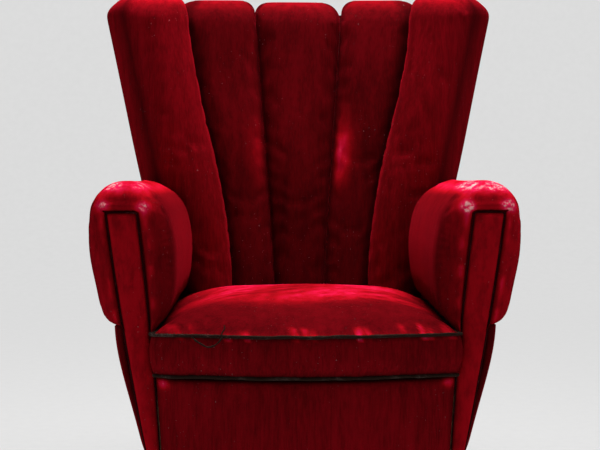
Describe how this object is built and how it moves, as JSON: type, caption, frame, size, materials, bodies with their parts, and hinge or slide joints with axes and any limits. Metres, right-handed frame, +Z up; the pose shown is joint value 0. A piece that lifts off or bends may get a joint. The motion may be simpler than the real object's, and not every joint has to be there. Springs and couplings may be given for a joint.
{
  "type": "wing armchair",
  "caption": "High channel-back armchair in piped velvet with rolled arms, narrow front facings, splayed wings and a loose boxed seat cushion, on turned tapered feet.",
  "frame": {"origin": "on the floor under the middle of the chair's bounding box", "axes": "+Z up from the floor, -Y out of the front of the seat, +X to the right seen from the front"},
  "size_m": [0.8526, 0.834, 1.04],
  "materials": {
    "beech_frame": "sawn, unfinished beech",
    "foot_wood": "dark stained and polished",
    "glide_steel": "domed nail glide, dull",
    "spring_steel": "drawn wire, dull",
    "webbing": "woven jute",
    "hessian": "open plain weave",
    "stuffing": "calico over hair stuffing",
    "velvet": "deep red cut pile, worn pinkish on the arm tops and the seat",
    "piping": "dark brown welt, rubbed",
    "dust_cloth": "thin black cambric"
  },
  "bodies": {
    "chair": {"back_hessian": "hessian", "centre_channel": "velvet", "crest_rail": "beech_frame", "dust_cover": "dust_cloth", "front_border": "velvet", "front_centre_spring": "spring_steel", "front_left_spring": "spring_steel", "front_right_spring": "spring_steel", "front_seat_rail": "beech_frame", "left_arm_facing": "velvet", "left_arm_pad": "velvet", "left_arm_rail": "beech_frame", "left_back_post": "beech_frame", "left_facing_piping": "piping", "left_front_corner_block": "beech_frame", "left_front_foot": "foot_wood", "left_front_glide": "glide_steel", "left_front_post": "beech_frame", "left_inner_channel": "velvet", "left_outside_arm_cover": "velvet", "left_rear_corner_block": "beech_frame", "left_rear_foot": "foot_wood", "left_rear_glide": "glide_steel", "left_seat_rail": "beech_frame", "left_wing_channel": "velvet", "left_wing_post": "beech_frame", "lower_back_rail": "beech_frame", "middle_centre_spring": "spring_steel", "middle_left_spring": "spring_steel", "middle_right_spring": "spring_steel", "outer_back_cover": "velvet", "rear_centre_spring": "spring_steel", "rear_left_spring": "spring_steel", "rear_right_spring": "spring_steel", "rear_seat_rail": "beech_frame", "right_arm_facing": "velvet", "right_arm_pad": "velvet", "right_arm_rail": "beech_frame", "right_back_post": "beech_frame", "right_facing_piping": "piping", "right_front_corner_block": "beech_frame", "right_front_foot": "foot_wood", "right_front_glide": "glide_steel", "right_front_post": "beech_frame", "right_inner_channel": "velvet", "right_outside_arm_cover": "velvet", "right_rear_corner_block": "beech_frame", "right_rear_foot": "foot_wood", "right_rear_glide": "glide_steel", "right_seat_rail": "beech_frame", "right_wing_channel": "velvet", "right_wing_post": "beech_frame", "seat_deck": "stuffing", "seat_hessian": "hessian", "seat_webbing": "webbing"},
    "seat_cushion": {"seat_cushion_cover": "velvet", "seat_cushion_filling": "stuffing", "cushion_top_piping": "piping", "cushion_bottom_piping": "piping"}
  },
  "joints": [
    {"name": "seat_cushion_pull", "type": "slide", "parent": "chair", "child": "seat_cushion", "axis": [0, -1, 0], "range_m": [0, 0.6]}
  ]
}
